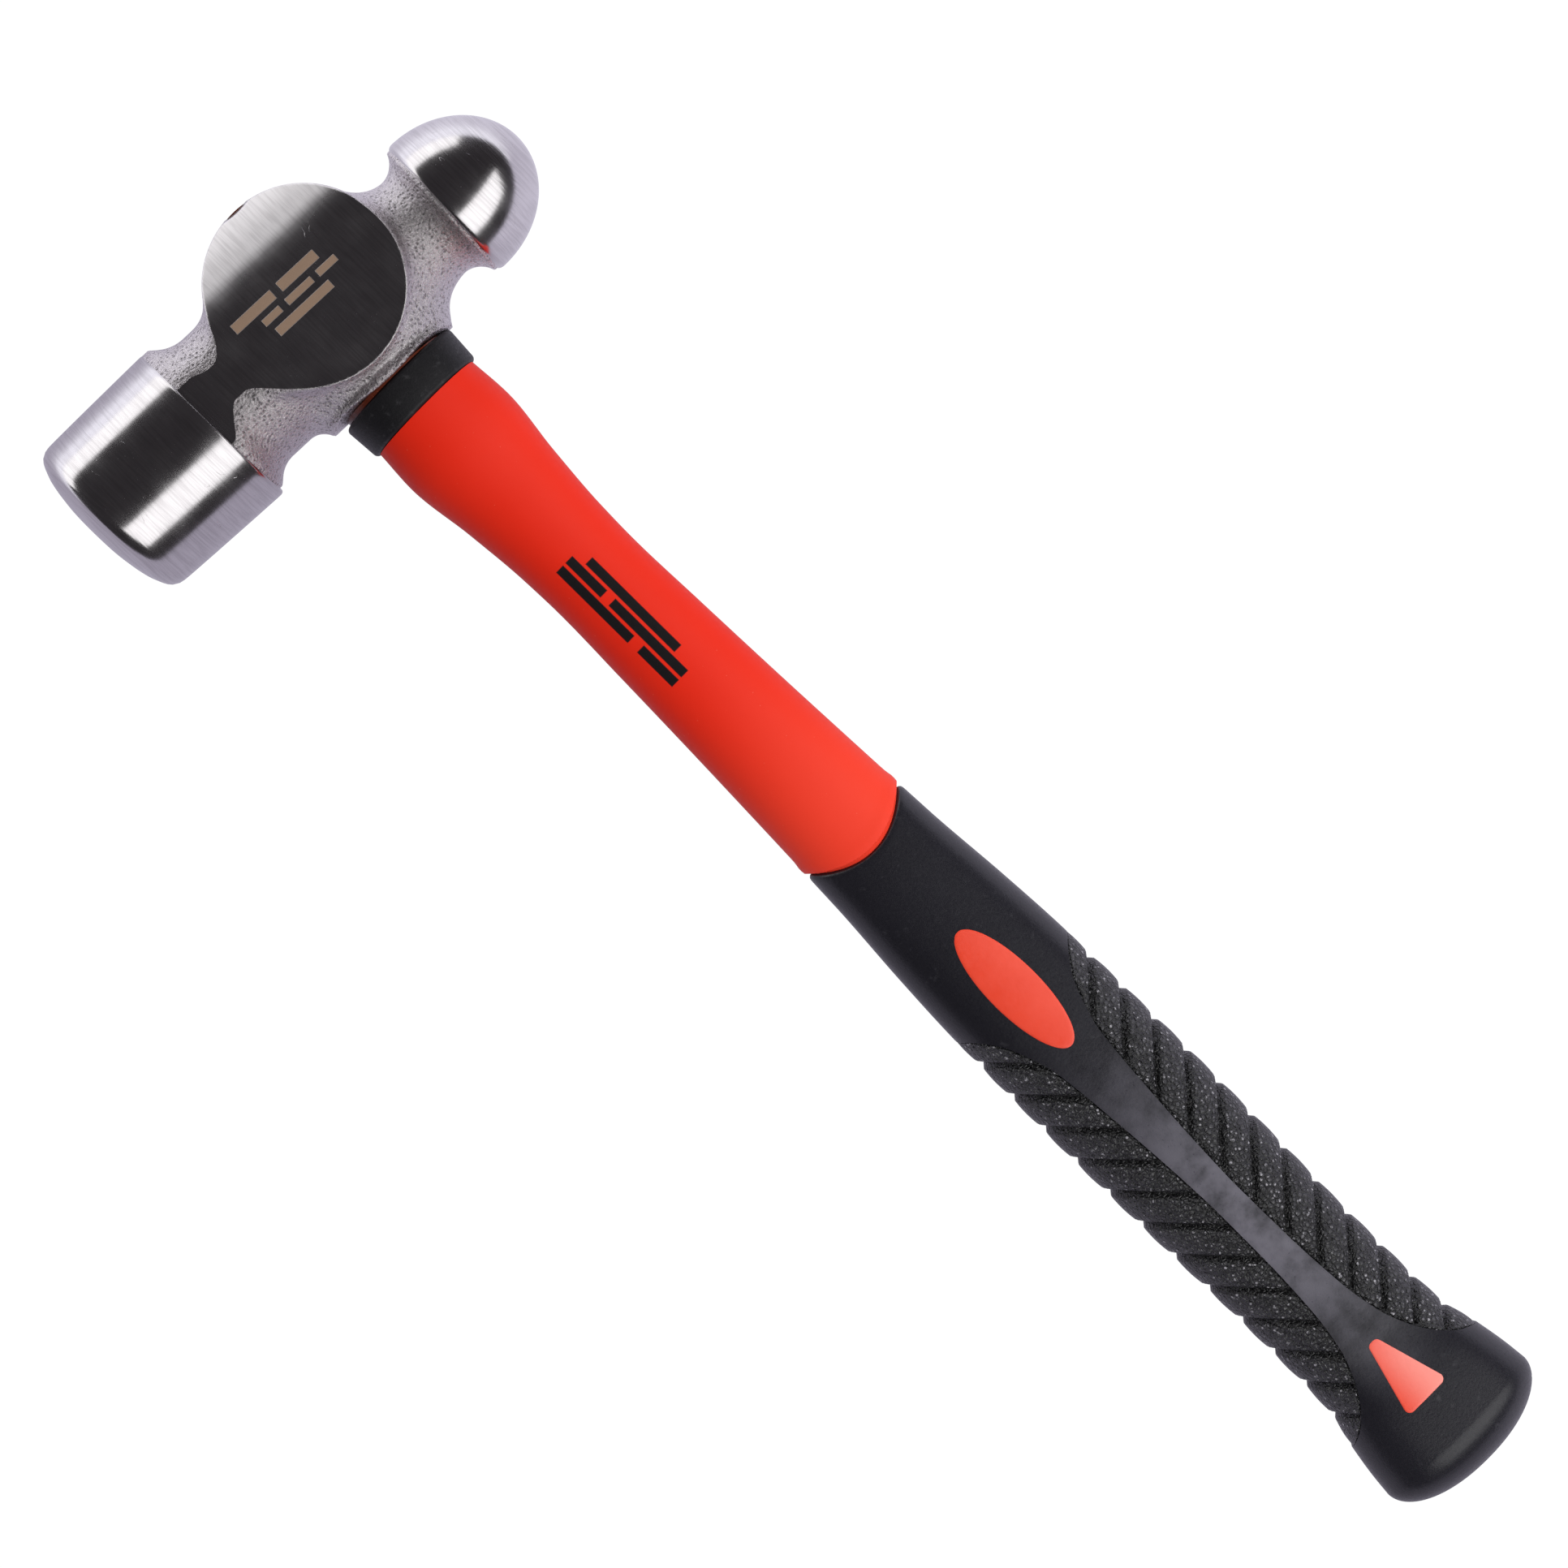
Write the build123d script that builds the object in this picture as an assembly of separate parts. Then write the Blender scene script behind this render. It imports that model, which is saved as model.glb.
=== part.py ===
"""A two pound ball peen hammer with a fibreglass handle, one solid for each real piece.

The hammer lies on its side. The origin is where the handle's axis crosses the head's axis. The head
runs along X with the striking face towards -X, the handle runs along -Y, and Z is the thickness of
the hammer, halved by z = 0. Every size is in millimetres. Distances down the handle are measured
from the head's axis, and distances up the handle from the end of the butt.
"""

import math
import os

from build123d import *

# The two overall lengths.
handle_length = 345.9  # from the head's axis to the end of the butt
head_cant = 2.2  # degrees that the striking face stands above square

# Poll, the cylindrical striking end.
poll_front = 68.4  # from the handle's axis to the striking face
poll_back = 34.8
poll_radius = 20.8
poll_taper = 0.75  # the poll is this much slimmer in radius at its face
face_flat_radius = 6.0
face_crown_radius = 12.0
face_crown_drop = 0.7
face_bevel_radius = 18.6
face_bevel_drop = 3.3
face_rim_drop = 5.0  # where the rounded bevel runs out on the poll's side

# Cheek, the thick middle round the eye, ground flat on both sides.
cheek_radius = 21.5
cheek_rise = 7.7  # how far the centre of the cheek's top stands above the head's axis
cheek_flat_rise = 5.3  # the same for the round side flats
cheek_half_thickness = 18.2
shoulder_start = 14.5  # the side flats start to roll over to the top of the head here
shoulder_drop = 6.0  # how much thickness the rolled shoulders take off at the top
flat_low_edge = 3.6  # behind the poll the side flats fall away this far below the head's axis

# Hollow neck behind the poll.
waist_place = 26.3
waist_radius = 16.8
waist_scallop = 9.1
waist_slope = 16.5  # degrees that the top of the waist climbs towards the cheek
waist_swell = 1.2  # the waist is this much thicker than it is high
waist_step = 0.15  # the flats' corners stand this far inside the poll's back edge

# Peen, the ball end, and its neck.
neck_place = 26.3
neck_radius = 12.8
neck_scallop = 6.8
peen_rim = 32.6  # from the handle's axis to the peen's back edge
peen_band = 1.4  # straight part between the peen's rim and its ball
peen_radius = 17.5
peen_length = 20.8  # the ball is a little longer than its radius

# Skirt, the foot of the eye, where the head meets the collar.
skirt_depth = 19.5
skirt_half_width = 14.2
skirt_half_thickness = 13.8
skirt_reach = 23.5  # half length of the rounded stock above the skirt

# Eye and the resin in it.
eye_top_half_width = 17.2
eye_top_half_thickness = 9.8
eye_foot_half_width = 13.2
eye_foot_half_thickness = 11.4
resin_sink = 0.8  # the resin stops this far below the top of the head
bed_margin = 0.7  # the bed of resin under the head stands this far inside the skirt
moulded_gap = 0.05  # between a moulded piece and what it is moulded round

# Rod, the glass fibre core.
rod_half_width = 7.8
rod_half_thickness = 5.8
rod_sink = 2.4  # the rod stops this far below the top of the head
rod_butt_cover = 18.6  # and this far from the end of the butt

# Collar between the head and the handle.
collar_gap = 0.15  # least thickness of the bed of resin above the collar
collar_height = 8.7
collar_half_width = 15.4
collar_half_thickness = 13.0
collar_draft = 0.6  # the collar is this much slimmer at its lower edge
collar_edge = 0.9
collar_wall = 3.2

# Jacket, the red skin of the handle: half width and half thickness.
jacket_top = (13.9, 11.8)
jacket_bulge = (14.5, 12.0)
jacket_bulge_place = 39.0
jacket_shoulder = (12.7, 10.6)
jacket_shoulder_place = 54.5
jacket_waist = (11.2, 9.6)
jacket_waist_place = 77.6
jacket_butt_cover = 14.7

# Grip, the black end of the handle: distance up the handle, half width, half thickness.
grip_front = (183.4, 14.3, 11.3)
grip_stations = [
    (159.9, 15.8, 12.3),
    (137.5, 16.9, 13.1),
    (106.3, 17.2, 13.5),
    (61.5, 16.7, 13.1),
    (38.1, 16.8, 13.2),
    (20.6, 19.1, 14.4),
    (9.9, 20.6, 15.2),
]
butt_dome = [
    (5.0, 18.7, 13.8),
    (1.5, 12.7, 9.5),
    (0.0, 4.9, 3.7),
]
grip_side_lead = 6.1  # the black reaches this much further up at the sides than on the middle line
grip_wall = 2.5

# Ribbed panels on both sides of the grip.
panel_top = 142.8  # distances up the handle
panel_narrowest = 84.9
panel_foot = 21.6
panel_depth = 1.75
spine_half_width = 3.5
groove_depth = 0.9
groove_width = 1.05
groove_count = 12
groove_pitch = 9.6
groove_first = 135.3  # up the handle to the first groove, at the side of the grip
groove_slant = 45.0

# Red inlays in the windows of the grip.
inlay_gap = 0.05
oval_middle = 142.1
oval_half_length = 17.2
oval_half_width = 5.6
wedge_apex = 36.6
wedge_base = 19.9
wedge_apex_half_width = 1.55
wedge_base_half_width = 5.5
wedge_corner = 1.25

big = 60.0  # reach of a cutter that only has to pass right through

# What follows from the sizes above.
head_top = cheek_rise + cheek_radius
cant_drop = skirt_half_width * math.sin(math.radians(head_cant))
collar_top = skirt_depth + cant_drop + collar_gap
collar_foot = collar_top + collar_height
grip_place = handle_length - grip_front[0]
widest = max(station[1] for station in grip_stations)
groove_side = grip_stations[3][1]  # the grooves are spaced where the grip's side stands


def down(distance):
    """The plane across the handle at a distance from the head's axis; its own Y is the part's Z."""
    return Plane(origin=(0, -distance, 0), x_dir=(1, 0, 0), z_dir=(0, -1, 0))


def oval(distance, half_width, half_thickness):
    """An oval across the handle."""
    return down(distance) * Ellipse(half_width, half_thickness)


def bar(start, end, half_width, half_thickness):
    """A straight oval bar down the handle."""
    return extrude(oval(start, half_width, half_thickness), end - start)


def upright(face):
    """A flat shape in the plane of the handle, passed right through the hammer's thickness."""
    return extrude(face, big, both=True)


def lengthwise(half):
    """The upper half of a section across the head, mirrored below and passed along the head."""
    across = Plane(origin=(0, 0, 0), x_dir=(0, 1, 0), z_dir=(1, 0, 0))
    section = across * (half + mirror(half, Plane.XZ))
    return extrude(section, big, both=True)


def canted(solid):
    """A solid of the head's own frame, set on the handle at the head's small cant."""
    return Rot(0, 0, -head_cant) * solid


def up_place(distance):
    """The y of a distance measured up the handle from the end of the butt."""
    return distance - handle_length


def poll():
    """The cylindrical striking end with its crowned face and its rounded bevel."""
    front_radius = poll_radius - poll_taper
    crown = Spline(
        (-poll_front, face_flat_radius),
        (-poll_front + face_crown_drop, face_crown_radius),
        (-poll_front + face_bevel_drop, face_bevel_radius),
        (-poll_front + face_rim_drop, front_radius),
        tangents=[(0, 1), (1, 0.2)],
    )
    side = Polyline(crown @ 1, (-poll_back, poll_radius), (-poll_back, 0), (-poll_front, 0), crown @ 0)
    return revolve(make_face(crown + side), Axis.X)


def waist():
    """The neck behind the poll, hollowed above and below, with the side flats running out on it."""
    reach = waist_radius + waist_scallop
    climb = waist_place * math.tan(math.radians(waist_slope))
    stock = Pos(-poll_back, 0) * Rectangle(poll_back, reach, align=(Align.MIN, Align.MIN))
    scallop = Pos(-waist_place, reach) * Circle(waist_scallop)
    above = Polyline(
        (-waist_place, waist_radius), (0, waist_radius + climb), (0, big), (-waist_place, big), close=True
    )
    turned = revolve(stock - scallop - make_face(above), Axis.X)
    core = Cylinder(poll_radius - waist_step, poll_back, rotation=(0, 90, 0))
    return scale(turned, by=(1, 1, waist_swell)) & (Pos(-poll_back / 2, 0, 0) * core)


def peen():
    """The narrow neck and the ball, turned together."""
    corner = (Align.MIN, Align.MIN)
    ball_place = peen_rim + peen_band
    quarter = Ellipse(peen_length, peen_radius) & Rectangle(peen_length, peen_radius, align=corner)
    ball = Pos(ball_place, 0) * quarter
    band = Pos(peen_rim, 0) * Rectangle(peen_band, peen_radius, align=corner)
    neck = Rectangle(peen_rim, peen_radius, align=corner)
    scallop = Pos(neck_place, neck_radius + neck_scallop) * Circle(neck_scallop)
    return revolve(ball + band + (neck - scallop), Axis.X)


def underside(place, radius):
    """What is cut away below the hollow line from a neck of the head to the foot of its skirt."""
    foot = math.copysign(skirt_half_width, place)
    line = Spline((place, -radius), (foot, -skirt_depth), tangents=[(-place, 0), (-place, -30)])
    rest = Polyline((foot, -skirt_depth), (foot, -big), (place, -big), (place, -radius))
    return upright(make_face(line + rest))


def shoulders():
    """The stock between the side flats, which roll over to the narrower top of the head."""
    roll = Spline(
        (shoulder_start, cheek_half_thickness),
        (head_top, cheek_half_thickness - shoulder_drop),
        tangents=[(1, 0), (1, -3)],
    )
    rest = Polyline(roll @ 1, (head_top, 0), (-skirt_depth, 0), (-skirt_depth, cheek_half_thickness), roll @ 0)
    return lengthwise(make_face(roll + rest))


def flanks():
    """The stock whose sides fall away below the flats to the foot of the skirt."""
    fall = Spline(
        (-flat_low_edge, cheek_half_thickness),
        (-skirt_depth, skirt_half_thickness),
        tangents=[(-1, 0), (-1, -0.5)],
    )
    rest = Polyline(fall @ 1, (-skirt_depth, 0), (head_top, 0), (head_top, cheek_half_thickness), fall @ 0)
    return lengthwise(make_face(fall + rest))


def eye():
    """The oval, tapered hole that the handle is bonded into."""
    foot = Plane(origin=(0, -skirt_depth - 1, 0), x_dir=(1, 0, 0), z_dir=(0, 1, 0))
    height = head_top + skirt_depth + 2
    return loft([
        foot * Ellipse(eye_foot_half_width, eye_foot_half_thickness),
        foot.offset(height) * Ellipse(eye_top_half_width, eye_top_half_thickness),
    ])


def hammer_head():
    """The forged head: poll, waist, cheek, skirt, neck and peen, pierced by the eye."""
    round_flat = Pos(0, cheek_flat_rise) * Circle(cheek_radius)
    link = Pos(0, (cheek_rise + cheek_flat_rise) / 2) * Rectangle(2 * cheek_radius, cheek_rise - cheek_flat_rise)
    cheek = upright(round_flat + link + Pos(0, cheek_rise) * Circle(cheek_radius))
    foot = Plane(origin=(0, -skirt_depth, 0), x_dir=(1, 0, 0), z_dir=(0, 1, 0))
    skirt = extrude(foot * Ellipse(skirt_reach, cheek_half_thickness), skirt_depth)
    middle = ((skirt + waist()) & flanks()) + (cheek & shoulders())
    middle -= underside(-waist_place, waist_radius)
    middle -= underside(neck_place, neck_radius)
    return canted(poll() + middle + peen() - eye())


def core_rod():
    """The glass fibre rod that carries the blow from the head to the grip."""
    start = rod_sink - head_top
    return bar(start, handle_length - rod_butt_cover, rod_half_width, rod_half_thickness)


def eye_resin(head, rod):
    """The resin that fills the eye round the rod, and its bed between the head and the collar."""
    crown = Pos(0, cheek_rise, 0) * Cylinder(cheek_radius - resin_sink, 2 * big)
    below = Pos(0, cheek_rise - big / 2, 0) * Box(2 * big, big, 2 * big)
    filling = canted(eye() & (crown + below)) & (Pos(0, big - collar_top, 0) * Box(2 * big, 2 * big, 2 * big))
    bed = bar(skirt_depth - cant_drop - 1, collar_top, skirt_half_width - bed_margin,
              skirt_half_thickness - bed_margin)
    return filling + bed - head - rod


def spigot(gap):
    """The jacket's neck inside the collar, or the collar's bore when the gap is nothing."""
    inset = collar_wall + gap
    return bar(collar_top, collar_foot, collar_half_width - inset, collar_half_thickness - inset)


def neck_collar():
    """The rubber collar under the head, pushed over the jacket's spigot."""
    body = loft([
        oval(collar_top, collar_half_width, collar_half_thickness),
        oval(collar_foot, collar_half_width - collar_draft, collar_half_thickness - collar_draft),
    ])
    return fillet(body.edges(), collar_edge) - spigot(0)


def jacket_skin():
    """The outside of the jacket, from the collar to a little way inside the grip."""
    run = grip_place - jacket_waist_place
    grow = [(front - waist) for front, waist in zip(grip_front[1:], jacket_waist)]
    sections = [
        oval(collar_foot, *jacket_top),
        oval(jacket_bulge_place, *jacket_bulge),
        oval(jacket_shoulder_place, *jacket_shoulder),
        oval(jacket_waist_place, *jacket_waist),
    ]
    for share in (0.35, 0.7, 1.0):
        half_sizes = [waist + share * more for waist, more in zip(jacket_waist, grow)]
        sections.append(oval(jacket_waist_place + share * run, *half_sizes))
    place, width, thickness = grip_stations[0]
    sections.append(oval(handle_length - place, width, thickness))
    return loft(sections)


def grip_skin(inset=0.0):
    """The outside of the grip as far as the butt's widest place, drawn in by inset."""
    lead = (grip_front[0] + 12, grip_front[1] - 0.6, grip_front[2] - 0.5)
    stations = [lead, grip_front, *grip_stations]
    return loft([oval(handle_length - up, w - inset, t - inset) for up, w, t in stations])


def butt():
    """The domed end of the grip."""
    stations = [grip_stations[-1], *butt_dome]
    return loft([oval(handle_length - up, w, t) for up, w, t in stations])


def red_region():
    """Everything headward of the curved line where the black grip begins."""
    half = widest
    middle = -grip_place
    side = middle + grip_side_lead
    line = ThreePointArc((-half, side), (0, middle), (half, side))
    rest = Polyline((half, side), (half, 0), (-half, 0), (-half, side))
    return upright(make_face(line + rest))


def sleeve():
    """The jacket's hidden part, which the grip is moulded round."""
    length = handle_length - jacket_butt_cover
    return grip_skin(grip_wall) & (Pos(0, -length / 2, 0) * Box(4 * big, length, 4 * big))


def handle_jacket():
    """The red jacket, moulded round the rod from the collar to the butt."""
    seen = jacket_skin() & red_region()
    bore = bar(collar_top - 1, handle_length - rod_butt_cover + moulded_gap, rod_half_width + moulded_gap,
               rod_half_thickness + moulded_gap)
    return seen + sleeve() + spigot(moulded_gap) - bore


def oval_window(gap=0.0):
    """The oval window on the middle line, passed right through."""
    return upright(Pos(0, up_place(oval_middle)) * Ellipse(oval_half_width - gap, oval_half_length - gap))


def wedge_window(gap=0.0):
    """The wedge-shaped window near the butt, passed right through."""
    apex = up_place(wedge_apex) - gap
    base = up_place(wedge_base) + gap
    apex_half = wedge_apex_half_width - gap
    base_half = wedge_base_half_width - gap
    face = make_face(
        Polyline((-apex_half, apex), (apex_half, apex), (base_half, base), (-base_half, base), close=True)
    )
    return upright(fillet(face.vertices(), wedge_corner))


def panel_region(side, gap=0.0):
    """One side of the grip, outside the smooth spine that widens towards both its ends."""
    top = up_place(panel_top) - gap
    foot = up_place(panel_foot) + gap
    spine = spine_half_width + gap
    edge = Spline(
        (widest, top + 2),
        (spine + 5.9, top - 10),
        (spine + 2.3, top - 22),
        (spine, up_place(panel_narrowest)),
        (spine + 1.2, foot + 25),
        (spine + 5.6, foot + 8.3),
        (widest + 1, foot - 1),
    )
    rest = Polyline(edge @ 1, (widest + 9, foot - 1), (widest + 9, top + 2), edge @ 0)
    region = upright(make_face(edge + rest))
    return region if side > 0 else mirror(region, Plane.YZ)


def grooves(side):
    """Slanted slabs that run headward and outward from the spine on one side."""
    slabs = []
    for index in range(groove_count):
        place = up_place(groove_first - index * groove_pitch)
        slab = Pos(side * groove_side, place, 0) * Rot(0, 0, side * groove_slant)
        slabs.append(slab * Box(2 * big, groove_width, 2 * big))
    return slabs


def rib_panel(side, outer):
    """A textured side panel, seated in its recess in the grip, with slanted grooves."""
    panel = (outer & panel_region(side, moulded_gap)) - grip_skin(panel_depth)
    floor = grip_skin(groove_depth)
    for slab in grooves(side):
        panel -= slab - floor
    return panel


def inlays(window, outer):
    """The front and the back piece of red that fill a window of the grip."""
    plug = (outer & window) - grip_skin(grip_wall)
    return sorted(plug.solids(), key=lambda solid: solid.center().Z, reverse=True)


def grip_shell(outer):
    """The black grip with its windows for the inlays and its recesses for the ribbed panels."""
    under_inlays = grip_skin(grip_wall)
    under_panels = grip_skin(panel_depth)
    shell = outer + butt() - red_region() - sleeve()
    shell -= oval_window() - under_inlays
    shell -= wedge_window() - under_inlays
    for side in (-1, 1):
        shell -= panel_region(side) - under_panels
    return shell


def write(name, solid):
    """Write one piece to its own file and say what it holds."""
    export_step(solid, f"parts/{name}.step")
    print(name, len(solid.solids()), "solid", round(solid.volume / 1000, 2), "cm3")


def main():
    os.makedirs("parts", exist_ok=True)
    outer = grip_skin()
    head = hammer_head()
    rod = core_rod()
    oval_front, oval_back = inlays(oval_window(inlay_gap), outer)
    wedge_front, wedge_back = inlays(wedge_window(inlay_gap), outer)
    write("hammer_head", head)
    write("core_rod", rod)
    write("eye_resin", eye_resin(head, rod))
    write("neck_collar", neck_collar())
    write("handle_jacket", handle_jacket())
    write("grip_shell", grip_shell(outer))
    write("rib_panel_face_side", rib_panel(-1, outer))
    write("rib_panel_peen_side", rib_panel(1, outer))
    write("oval_inlay_front", oval_front)
    write("oval_inlay_back", oval_back)
    write("wedge_inlay_front", wedge_front)
    write("wedge_inlay_back", wedge_back)


main()
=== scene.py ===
# %% [markdown]
# # A two pound ball peen hammer
#
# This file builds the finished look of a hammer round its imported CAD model. The head is forged
# steel with ground faces, the handle is a glass fibre rod in a red jacket, and the grip is black
# rubber with ribbed panels and red inlays. Every new piece is a closed surface worked out with
# numpy, in the same place as the CAD solid that it stands for.

# %% Load the frame
import math

import bmesh
import bpy
import numpy as np
from mathutils import Matrix, Vector


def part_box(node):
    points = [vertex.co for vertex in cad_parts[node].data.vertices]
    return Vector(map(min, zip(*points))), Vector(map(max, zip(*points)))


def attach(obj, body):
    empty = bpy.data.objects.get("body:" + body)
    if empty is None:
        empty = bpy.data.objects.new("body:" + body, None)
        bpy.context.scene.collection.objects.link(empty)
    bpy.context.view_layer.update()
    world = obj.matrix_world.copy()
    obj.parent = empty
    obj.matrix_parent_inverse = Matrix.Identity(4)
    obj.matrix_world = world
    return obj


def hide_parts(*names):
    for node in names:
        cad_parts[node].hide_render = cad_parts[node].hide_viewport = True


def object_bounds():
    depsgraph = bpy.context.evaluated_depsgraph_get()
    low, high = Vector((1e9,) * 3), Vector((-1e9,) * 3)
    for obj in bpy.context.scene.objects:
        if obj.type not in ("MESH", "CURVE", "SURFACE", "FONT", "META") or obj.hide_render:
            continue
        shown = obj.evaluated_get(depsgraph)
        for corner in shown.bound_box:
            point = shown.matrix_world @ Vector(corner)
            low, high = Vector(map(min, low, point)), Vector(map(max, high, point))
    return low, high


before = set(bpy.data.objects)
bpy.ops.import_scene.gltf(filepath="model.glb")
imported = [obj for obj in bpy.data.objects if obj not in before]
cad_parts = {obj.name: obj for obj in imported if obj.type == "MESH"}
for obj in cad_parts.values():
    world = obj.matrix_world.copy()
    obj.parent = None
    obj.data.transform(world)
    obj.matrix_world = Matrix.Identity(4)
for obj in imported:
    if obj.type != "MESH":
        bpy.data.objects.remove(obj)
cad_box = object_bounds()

to_mm, to_metres = 1000.0, 0.001
print("nodes in the frame:", sorted(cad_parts))

# %% [markdown]
# ## Places that come from the frame
#
# The head's axis runs close to X and the handle runs along -Y. All shapes below are worked out in
# millimetres, and distances down the handle are counted from the head's axis. The main places are
# read from the CAD boxes, so the visual pieces and the solids can't drift apart.

# %% Read the main places
def reach(node):
    """Lowest and highest corner of a node in millimetres, as two arrays."""
    low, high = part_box(node)
    return np.array(low) * to_mm, np.array(high) * to_mm


collar_low, collar_high = reach("neck_collar")
collar_top, collar_foot = -collar_high[1], -collar_low[1]
butt_end = -reach("grip_shell")[0][1]
sleeve_end = -reach("handle_jacket")[0][1]
rod_end = -reach("core_rod")[0][1]
rod_half = reach("core_rod")[1]
cant = math.radians(-2.4)  # the turn of the head's axis away from X
print("collar", round(collar_top, 2), "to", round(collar_foot, 2), "butt", round(butt_end, 2))
print("sleeve ends", round(sleeve_end, 2), "rod ends", round(rod_end, 2))

# %% [markdown]
# ## Shapes from numbers
#
# A turned or moulded part is easiest to describe by a few sizes along its length with a smooth
# line through them. Blender's own curves could do this, but a formula keeps every size visible
# and gives whole arrays of points at once.

# %% Helpers for smooth sizes
def through(points, place):
    """A smooth line through (place, value) pairs that never swings past them.

    Between two pairs it is the cubic that leaves and arrives with given slopes. Each slope is the
    harmonic mean of the two neighbouring rises, or nothing where the line turns round.
    """
    known, value = np.array(sorted(points), float).T
    step = np.diff(known)
    rise = np.diff(value) / step
    slope = np.zeros_like(value)
    onward = rise[:-1] * rise[1:] > 0
    before, after = np.where(onward, rise[:-1], 1.0), np.where(onward, rise[1:], 1.0)
    slope[1:-1] = np.where(onward, 2.0 / (1.0 / before + 1.0 / after), 0.0)
    slope[0], slope[-1] = rise[0], rise[-1]
    held = np.clip(place, known[0], known[-1])
    left = np.clip(np.searchsorted(known, held) - 1, 0, len(step) - 1)
    t = (held - known[left]) / step[left]
    start = (1 + 2 * t) * (1 - t) ** 2 * value[left] + t * (1 - t) ** 2 * step[left] * slope[left]
    end = t * t * (3 - 2 * t) * value[left + 1] + t * t * (t - 1) * step[left] * slope[left + 1]
    return start + end


def meld(first, second, width):
    """The smaller of two distances, rounded where they are within width of each other."""
    near = np.clip(0.5 + 0.5 * (second - first) / width, 0.0, 1.0)
    return second + (first - second) * near - width * near * (1.0 - near)


def ease(low, high, value):
    """A ramp from 0 at low to 1 at high with soft ends."""
    t = np.clip((value - low) / (high - low), 0.0, 1.0)
    return t * t * (3 - 2 * t)


def power(value, exponent):
    """A number's size raised to an exponent, with its own sign kept."""
    return np.sign(value) * np.abs(value) ** exponent


print("half way up a soft ramp:", float(ease(0.0, 1.0, 0.5)))

# %% [markdown]
# ## From rings to a closed mesh
#
# Every piece here is a stack of rings: closed loops of points, all with the same count. Quads join
# each ring to the next, and the ends are closed by a fan, or the last ring is joined to the first.
# Extruding in edit mode would give the same faces, but arrays make them all in one go. Points that
# land on each other are then joined, so that no seam stays open.

# %% Faces between rings
def shell_faces(rows, columns, looped):
    """Quads between neighbouring points of closed rings, and fans to two poles unless looped."""
    index = np.arange(rows * columns).reshape(rows, columns)
    if looped:
        index = np.vstack([index, index[:1]])
    here, beyond = index[:-1], index[1:]
    around, beyond_around = np.roll(here, -1, 1), np.roll(beyond, -1, 1)
    quads = np.stack([here, around, beyond_around, beyond], -1).reshape(-1, 4).tolist()
    if looped:
        return quads
    first, last = rows * columns, rows * columns + 1
    top = np.stack([np.roll(index[0], -1), index[0], np.full(columns, first)], -1)
    foot = np.stack([index[-1], np.roll(index[-1], -1), np.full(columns, last)], -1)
    return quads + top.tolist() + foot.tolist()


def outward(mesh):
    """Turns all faces round if their volume comes out negative, and gives its size in cubic centimetres.

    The volume is a sixth of the sum over all triangles of a . (b x c), with a, b and c their corners.
    """
    mesh.calc_loop_triangles()
    corners = np.empty(len(mesh.loop_triangles) * 3, np.int32)
    mesh.loop_triangles.foreach_get("vertices", corners)
    place = np.empty(len(mesh.vertices) * 3)
    mesh.vertices.foreach_get("co", place)
    a, b, c = place.reshape(-1, 3)[corners.reshape(-1, 3)].transpose(1, 0, 2)
    volume = np.einsum("ij,ij->i", a, np.cross(b, c)).sum() / 6.0
    if volume < 0:
        mesh.flip_normals()
    return abs(volume) * (to_mm / 10) ** 3


# %% Meshes and pieces
def weld(mesh, gap=0.001):
    """Joins points that are closer than a gap in millimetres, and drops the empty faces this leaves."""
    near = gap * to_metres
    work = bmesh.new()
    work.from_mesh(mesh)
    bmesh.ops.remove_doubles(work, verts=work.verts, dist=near)
    bmesh.ops.dissolve_degenerate(work, edges=work.edges, dist=near / 2)
    open_edges = sum(1 for each in work.edges if len(each.link_faces) != 2)
    print("edges not shared by two faces:", open_edges)
    work.to_mesh(mesh)
    work.free()


def make_mesh(name, points, faces, sharp=38.0):
    """A smooth-shaded mesh from points in millimetres, with edges kept crisp above an angle."""
    mesh = bpy.data.meshes.new(name)
    mesh.from_pydata((np.asarray(points) * to_metres).tolist(), [], faces)
    mesh.update()
    weld(mesh)
    volume = outward(mesh)
    mesh.polygons.foreach_set("use_smooth", np.ones(len(mesh.polygons), bool))
    mesh.set_sharp_from_angle(angle=math.radians(sharp))
    print(name, len(mesh.vertices), "points,", round(volume, 2), "cm3")
    return mesh


def ring_mesh(name, rings, looped=False, sharp=38.0):
    """A closed surface through an array of rings, each closed round on itself.

    The first and last rings are closed by a fan to their middle, or joined to each other.
    """
    rows, columns, _ = rings.shape
    points = rings.reshape(-1, 3)
    if not looped:
        points = np.vstack([points, rings[0].mean(0), rings[-1].mean(0)])
    return make_mesh(name, points, shell_faces(rows, columns, looped), sharp)


def add_piece(name, mesh, finish, slot, *nodes):
    """Puts a mesh in the scene as a piece that stands for one or more CAD nodes."""
    for index, each in enumerate(finish):
        if index < len(mesh.materials):
            mesh.materials[index] = each
        else:
            mesh.materials.append(each)
    piece = bpy.data.objects.new(name, mesh)
    bpy.context.scene.collection.objects.link(piece)
    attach(piece, "root")
    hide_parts(*nodes)
    return piece


# %% [markdown]
# ## Writing finishes as sums
#
# A material is a network of nodes. Drawing it by hand is fine for one, but here ten finishes
# share the same steps, so a socket is wrapped in a small class whose plus, minus and times signs
# add Math nodes. Colours and vectors have their own nodes, because a Math node would turn them grey.

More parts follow.
